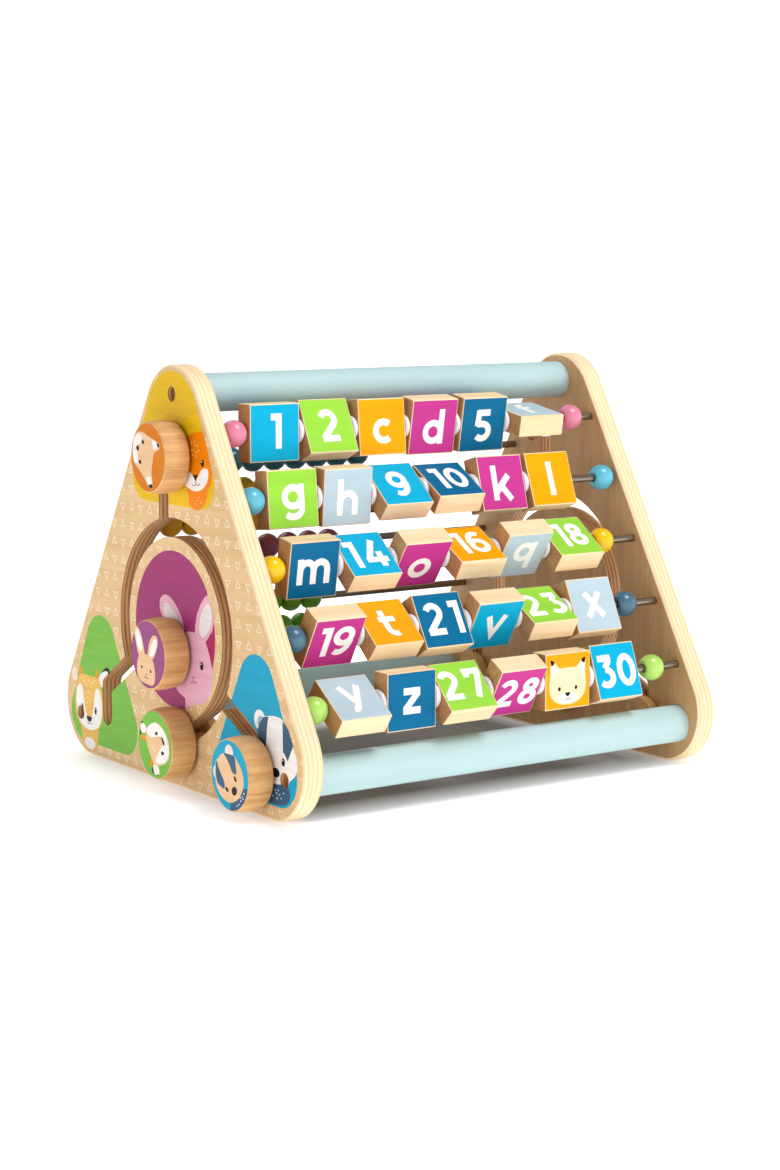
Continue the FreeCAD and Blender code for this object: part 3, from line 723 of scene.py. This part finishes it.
GLYPHS = {
    "0": [ring(0, 0.5, 0.245, 0.393)],
    "1": [line((-0.20, TOP), (0.06, TOP), (0.06, 0))],
    "2": [("line", arc(0, 0.675, 0.225, 0.218, 158, -38) + [(-0.25, 0.10)]),
          line((-0.30, HALF), (0.30, HALF))],
    "3": [line((-0.25, TOP), (0.235, TOP)), line((0.17, 0.86), (-0.03, 0.60)),
          ("line", arc(-0.03, 0.335, 0.25, 0.228, 88, -140))],
    "4": [line((0.10, 1.0), (-0.27, 0.27)), line((-0.36, 0.265), (0.36, 0.265)),
          line((0.145, 0.56), (0.145, 0))],
    "5": [line((-0.20, TOP), (0.25, TOP)), line((-0.155, 0.98), (-0.185, 0.50)),
          ("line", [(-0.20, 0.555)] + arc(-0.01, 0.335, 0.245, 0.225, 88, -140))],
    "6": [ring(0.0, 0.34, 0.245, 0.238),
          ("line", arc(0.06, 0.46, 0.305, 0.44, 178, 62))],
    "7": [line((-0.30, TOP), (0.30, TOP)), line((0.235, 0.90), (-0.10, 0)),
          line((-0.20, TOP), (-0.20, 0.70))],
    "8": [ring(0, 0.725, 0.18, 0.165), ring(0, 0.305, 0.215, 0.197)],
    "9": [ring(0.0, 0.66, 0.245, 0.238),
          ("line", arc(-0.06, 0.54, 0.305, 0.44, -2, -118))],
    "a": [("line", arc(-0.02, 0.43, 0.22, 0.205, 150, 0) + [(0.20, 0.0)]),
          ring(-0.02, 0.215, 0.2, 0.115)],
    "b": [ring(0, XH / 2, 0.27, 0.27), line((-0.28, 1.05), (-0.28, 0))],
    "c": [("line", arc(0, XH / 2, 0.28, 0.27, 48, 312, 24))],
    "d": [ring(0, XH / 2, 0.27, 0.27), line((0.28, 1.05), (0.28, 0))],
    "e": [("line", arc(0, XH / 2, 0.27, 0.27, -48, -360, 24)), line((-0.20, 0.345), (0.34, 0.345))],
    "f": [("line", [(-0.03, 0)] + arc(0.17, 0.80, 0.20, 0.18, 180, 75)),
          line((-0.18, BAR), (0.26, BAR))],
    "g": [ring(0, XH / 2 + 0.01, 0.27, 0.26),
          ("line", [(0.28, XH)] + arc(0.0, 0.02, 0.28, 0.2, 0, -142))],
    "h": [line((-0.26, 1.05), (-0.26, 0)),
          ("line", arc(0, 0.38, 0.25, 0.25, 170, 0) + [(0.25, 0)])],
    "i": [line((0, XH), (0, 0)), line((0, 1.04), (0, 0.84))],
    "j": [("line", [(0.05, XH)] + arc(-0.13, -0.02, 0.18, 0.17, 0, -110)),
          line((0.05, 1.04), (0.05, 0.84))],
    "k": [line((-0.24, 1.05), (-0.24, 0)), line((0.28, XH), (-0.22, 0.24)),
          line((-0.02, 0.44), (0.31, 0))],
    "l": [line((0, 1.05), (0, 0))],
    "m": [line((-0.45, XH), (-0.45, 0)),
          ("line", arc(-0.225, 0.40, 0.215, 0.235, 168, 0) + [(-0.01, 0)]),
          ("line", arc(0.215, 0.40, 0.225, 0.235, 168, 0) + [(0.44, 0)])],
    "n": [line((-0.26, XH), (-0.26, 0)),
          ("line", arc(0, 0.38, 0.25, 0.25, 170, 0) + [(0.25, 0)])],
    "o": [ring(0, XH / 2, 0.285, 0.27)],
    "p": [ring(0, XH / 2, 0.27, 0.27), line((-0.28, XH), (-0.28, -0.27))],
    "q": [ring(0, XH / 2, 0.27, 0.27), line((0.28, XH), (0.28, -0.27))],
    "r": [line((-0.12, XH), (-0.12, 0)), ("line", arc(0.12, 0.36, 0.24, 0.27, 165, 85))],
    "s": [("line", arc(0.0, 0.53, 0.2, 0.115, 30, 180, 10) + arc(0.0, 0.21, 0.2, 0.12, 60, -150, 12))],
    "t": [("line", [(-0.09, 0.97), (-0.09, 0.32)] + arc(0.12, 0.30, 0.21, 0.20, 180, 290)),
          line((-0.28, BAR), (0.27, BAR))],
    "u": [("line", [(-0.25, XH)] + arc(0, 0.36, 0.25, 0.25, -180, -10)),
          line((0.26, XH), (0.26, 0))],
    "v": [line((-0.30, XH), (0.0, 0.06), (0.30, XH))],
    "w": [line((-0.46, XH), (-0.23, 0.06), (0.0, 0.66), (0.23, 0.06), (0.46, XH))],
    "x": [line((-0.27, XH), (0.29, 0)), line((0.27, XH), (-0.29, 0))],
    "y": [line((-0.30, XH), (0.03, 0.03)), ("line", [(0.30, XH), (-0.03, -0.06)]
          + arc(-0.17, -0.01, 0.15, 0.155, -20, -105, 8))],
    "z": [line((-0.28, BAR), (0.28, BAR)), line((0.22, 0.60), (-0.22, 0.14)),
          line((-0.29, HALF), (0.29, HALF))],
}

GLYPH_DROP = {"c": 2.7, "o": 2.7, "m": 0.9, "g": 0.9}      # mm below the middle of the face


def write_on(name, text, plane, body, slot_name):
    """White figures standing in the middle of a block's face."""
    strokes, pen = [], 0.0
    for letter in text:
        glyph = GLYPHS[letter]
        left = min(p[0] for _, path in glyph for p in path) - HALF
        right = max(p[0] for _, path in glyph for p in path) + HALF
        strokes += [(kind, [(p[0] - left + pen, p[1]) for p in path]) for kind, path in glyph]
        pen += right - left + GLYPH_GAP
    width = pen - GLYPH_GAP
    heights = [p[1] for kind, path in strokes for p in path]
    low, high = max(GLYPH_LOW, min(heights)), min(GLYPH_HIGH, max(heights))
    middle = (low + high) / 2 + GLYPH_DROP.get(text, 0) / GLYPH_SIZE
    shape = Shape()
    for layer, (kind, path) in enumerate(strokes):
        at = [((p[0] - width / 2) * GLYPH_SIZE, (p[1] - middle) * GLYPH_SIZE) for p in path]
        shape.ribbon(at, GLYPH_STROKE * GLYPH_SIZE, plane, -PRINT_SUNK, PRINT_LIFT + PRINT_STEP * layer,
                     closed=kind == "ring")
    return shape.piece(name, glyph_white, body, slot_name)


# ---- end panels ---------------------------------------------------------------------
def on_rim(y, z):
    """Whether a point (in mm) of a panel's wall lies on its outer edge, not in a slot or hole."""
    y = abs(y)
    corners = ((FOOT_CORNER, (0.6, -0.8)), (APEX_CORNER, (0.0, 1.0)))
    for (cy, cz, r), (dy, dz) in corners:
        away = math.hypot(y - cy, z - cz)
        if abs(away - r) < RIM_BAND and (y - cy) * dy + (z - cz) * dz > 0.2 * away:
            return True
    if z < RIM_BAND:
        return True
    (fy, fz, fr), (ay, az, ar) = FOOT_CORNER, APEX_CORNER
    span = math.hypot(fy - ay, fz - az)
    ny, nz = (az - fz) / span, (fy - ay) / span
    return (y - ay) * ny + (z - az) * nz > ar - RIM_BAND


def dress_panel(node, side):
    mesh = finish_node(node, veneer_outer, veneer_inner, panel_edge, slot_wall)
    for p in mesh.polygons:
        c = p.center / MM
        depth = c.x * side
        if abs(p.normal.x) > FLAT and depth > PANEL_OUTER_X - 0.1:
            p.material_index = 0
        elif abs(p.normal.x) > FLAT and depth < PANEL_OUTER_X - PANEL_T + 0.1:
            p.material_index = 1
        else:
            p.material_index = 2 if on_rim(c.y, c.z) else 3


for node, side in (("left_panel", -1), ("right_panel", 1)):
    dress_panel(node, side)
    slab, rims = face_slab(node, side)
    outside = Plane((side * PANEL_OUTER_X * MM, 0, 0), (0, side, 0), (0, 0, 1))
    for animal, drawing in (("lion", lion_panel), ("rabbit", rabbit_panel),
                            ("deer", deer_panel), ("badger", badger_panel)):
        items = [(item[0], moved(item[1], mirror=-side)) + tuple(item[2:]) for item in drawing()]
        print_picture("%s_%s_picture" % (node, animal), items, outside, "frame",
                      "panel_plywood", slab, rims)
    bpy.data.objects.remove(slab)

# ---- knobs --------------------------------------------------------------------------
KNOB_PRINTS = {"lion": (lion_face, "knob_orange"), "rabbit": (rabbit_face, "purple"),
               "deer": (deer_face, "green"), "badger": (badger_face, "blue")}
KNOB_TURNS = {"left": {}, "right": {"lion": 200, "rabbit": 12, "deer": 150, "badger": -35}}
for side_name, side in (("left", -1), ("right", 1)):
    for animal, (drawing, ground) in KNOB_PRINTS.items():
        node = "%s_%s_knob" % (side_name, animal)
        low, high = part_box(node)
        mesh = finish_node(node, knob_wood, ink[ground])
        for p in mesh.polygons:
            on_face = p.center.x * side > (KNOB_FACE_X - 0.05) * MM
            p.material_index = 1 if on_face and p.normal.x * side > FLAT else 0
        middle = (low + high) / 2
        face = Plane((side * KNOB_FACE_X * MM, middle.y, middle.z), (0, side, 0), (0, 0, 1))
        turn = KNOB_TURNS[side_name].get(animal, 0)
        items = [(item[0], moved(item[1], turn=turn)) + tuple(item[2:]) for item in drawing()]
        print_picture(node + "_face", items, face, node, "turned_wood")

# ---- blocks -------------------------------------------------------------------------
ROW_COLOURS = (
    ("cyan", "green", "orange", "magenta", "navy", "pale"),
    ("green", "pale", "cyan", "navy", "magenta", "orange"),
    ("navy", "cyan", "magenta", "orange", "pale", "green"),
    ("magenta", "orange", "navy", "cyan", "green", "pale"),
    ("pale", "navy", "green", "magenta", "orange", "cyan"),
)
NUMBER_SHOWN = (1, 2, 5, 9, 10, 14, 16, 18, 19, 21, 23, 27, 28, 30)
BLOCK_ANIMALS = {27: (rabbit_face, 0.8), 28: (deer_face, 0.8), 29: (fox_face, 1.0), 30: (lion_face, 0.8)}
for number in range(1, 31):
    node = "block_%02d" % number
    colour = ROW_COLOURS[(number - 1) // 6][(number - 1) % 6]
    mesh = finish_node(node, block_wood, block_paint[colour], block_end)
    square = [p for p in mesh.polygons if abs(p.normal.x) < 0.01]
    largest = max(p.area for p in square)
    front = min((p for p in square if p.area > 0.8 * largest), key=lambda p: p.normal.y).normal.copy()
    for p in mesh.polygons:
        if abs(p.normal.dot(front)) > 0.995:
            p.material_index = 1
        else:
            # sides facing along X take the darker brown wood
            p.material_index = 2 if abs(p.normal.x) > 0.7 else 0
    low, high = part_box(node)
    middle = (low + high) / 2
    across = Vector((1, 0, 0))
    up = front.cross(across)
    shown = Plane(middle + front * (BLOCK_T / 2 * MM), across, up)
    hidden = Plane(middle - front * (BLOCK_T / 2 * MM), across, -up)
    slot_name = "block_" + colour
    number_first = number in NUMBER_SHOWN
    for plane, is_number in ((shown, number_first), (hidden, not number_first)):
        if is_number:
            write_on(node + "_number", str(number), plane, node, slot_name)
        elif number in BLOCK_ANIMALS:
            drawing, scale = BLOCK_ANIMALS[number]
            items = [(item[0], moved(item[1], scale=scale)) + tuple(item[2:]) for item in drawing()]
            print_picture(node + "_animal", items, plane, node, slot_name)
        else:
            write_on(node + "_letter", chr(ord("a") + number - 1), plane, node, slot_name)

# ---- beads, rails and steel ---------------------------------------------------------
for row in range(1, 6):
    row_paint = bead_paint["row_bead_%d" % row]
    finish_node("row_%d_end_bead" % row, row_paint)
    mesh = finish_node("row_%d_beads" % row, row_paint, bead_paint["spacer"])
    low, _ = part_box("row_%d_beads" % row)
    for p in mesh.polygons:
        p.material_index = 0 if p.center.x < low.x + END_BEAD_REACH * MM else 1
ABACUS_COLOURS = ("teal", "amber", "amber", "plum", "plum", "leaf", "leaf")
for row, colour in enumerate(ABACUS_COLOURS, 1):
    finish_node("abacus_row_%d" % row, bead_paint["abacus_" + colour])
for node in ("top_rail", "bottom_rails"):
    finish_node(node, rail_paint)
mesh = finish_node("steel_rods_and_screws", rod_steel, screw_bronze)
for p in mesh.polygons:
    p.material_index = 1 if abs(p.center.x) > (PANEL_OUTER_X - SCREW_DEPTH) * MM else 0


# ---- studio, in metres --------------------------------------------------------------
FLOOR_R = 9.0                         # the flat part of the floor
COVE_R = 3.0                          # the bend from the floor up into the wall
WALL_TOP = 4.5
PAINTED_SHADOW_HALF = (0.12, 0.09)             # half-sides of the patch under the toy that is painted dark and without glow as a painted shadow, along X and Y
GLOW_EDGE, PALE_EDGE = 0.08, 0.04     # the floor glows fully, and is fully pale, this far from it; nearer the toy both fade into a painted shadow
GLOW = 0.92
LIGHTS = (("key", (0.45, -0.95, 2.1), 1.1, 37.0),          # name, place, diameter, watts
          ("fill", (-1.9, -0.5, 0.9), 1.4, 2.5),
          ("back", (-0.2, 1.3, 1.6), 1.2, 8.0))
LIT_POINT = Vector((0, 0, 0.12))


def round_floor():
    """Pale round floor that curves up into a bright wall all round, with a painted shadow under the toy,
    where the floor is drawn darker and given no glow.
    """
    rings = [(r, 0.0) for r in (0.4, 1.0, 2.5, 5.0, FLOOR_R)]
    rings += [(FLOOR_R + COVE_R * math.sin(a), COVE_R - COVE_R * math.cos(a))
              for a in (math.radians(15 * k) for k in range(1, 7))]
    rings += [(FLOOR_R + COVE_R, WALL_TOP)]
    sides = 72
    verts = [(r * math.cos(2 * math.pi * k / sides), r * math.sin(2 * math.pi * k / sides), z)
             for r, z in rings for k in range(sides)]
    faces = [list(range(sides))]
    for row in range(len(rings) - 1):
        for k in range(sides):
            m = (k + 1) % sides
            inner, outer = row * sides, (row + 1) * sides
            faces.append([inner + k, outer + k, outer + m, inner + m])
    mesh = bpy.data.meshes.new("floor")
    mesh.from_pydata(verts, [], faces)
    f = Finish("floor", 0.9)
    x, y, _ = f.axes()
    dx = f.math("MAXIMUM", f.math("SUBTRACT", f.math("ABSOLUTE", x), PAINTED_SHADOW_HALF[0]), 0.0)
    dy = f.math("MAXIMUM", f.math("SUBTRACT", f.math("ABSOLUTE", y), PAINTED_SHADOW_HALF[1]), 0.0)
    away = f.math("SQRT", f.math("ADD", f.math("MULTIPLY", dx, dx), f.math("MULTIPLY", dy, dy)))
    # painted shadow: the glow fades to nothing over the patch under the toy
    glow = f.math("MULTIPLY", f.spread(away, 0.0, GLOW_EDGE), GLOW)
    f.put(srgb(255, 255, 255), f.shader.inputs["Emission Color"])
    f.put(glow, f.shader.inputs["Emission Strength"])
    pale = f.mix(f.noise((3, 3, 3)), srgb(226, 226, 226), srgb(230, 230, 230))
    # painted shadow: the floor is drawn dark grey under the toy and turns pale within PALE_EDGE of the
    # patch
    f.coloured(f.mix(f.spread(away, 0.0, PALE_EDGE), srgb(140, 138, 136), pale))
    mesh.materials.append(f.material)
    floor = bpy.data.objects.new("floor", mesh)
    bpy.context.scene.collection.objects.link(floor)


def lighting():
    """Three soft lights and a faint even sky."""
    for name, place, size, power in LIGHTS:
        data = bpy.data.lights.new(name, "AREA")
        data.shape, data.size, data.energy = "DISK", size, power
        light = bpy.data.objects.new(name, data)
        light.location = place
        light.rotation_euler = (LIT_POINT - Vector(place)).to_track_quat("-Z", "Y").to_euler()
        bpy.context.scene.collection.objects.link(light)

    world = bpy.data.worlds.new("studio")
    world.use_nodes = True
    world.node_tree.nodes["Background"].inputs["Color"].default_value = srgb(250, 250, 252)
    world.node_tree.nodes["Background"].inputs["Strength"].default_value = 0.10
    bpy.context.scene.world = world
    bpy.context.scene.view_settings.view_transform = "Standard"


def camera():
    """A long lens a little above the toy, in front and to the left, looking right and slightly down."""
    yaw, dip = 0.6055, 0.1383         # radians
    data = bpy.data.cameras.new("camera")
    data.lens, data.sensor_width = 73.63, 36.0
    data.dof.use_dof = False
    obj = bpy.data.objects.new("camera", data)
    obj.location = (-0.8392, -1.2190, 0.3148)
    look = Vector((math.sin(yaw) * math.cos(dip), math.cos(yaw) * math.cos(dip), -math.sin(dip)))
    obj.rotation_euler = look.to_track_quat("-Z", "Y").to_euler()
    bpy.context.scene.collection.objects.link(obj)
    bpy.context.scene.camera = obj


round_floor()
lighting()
camera()
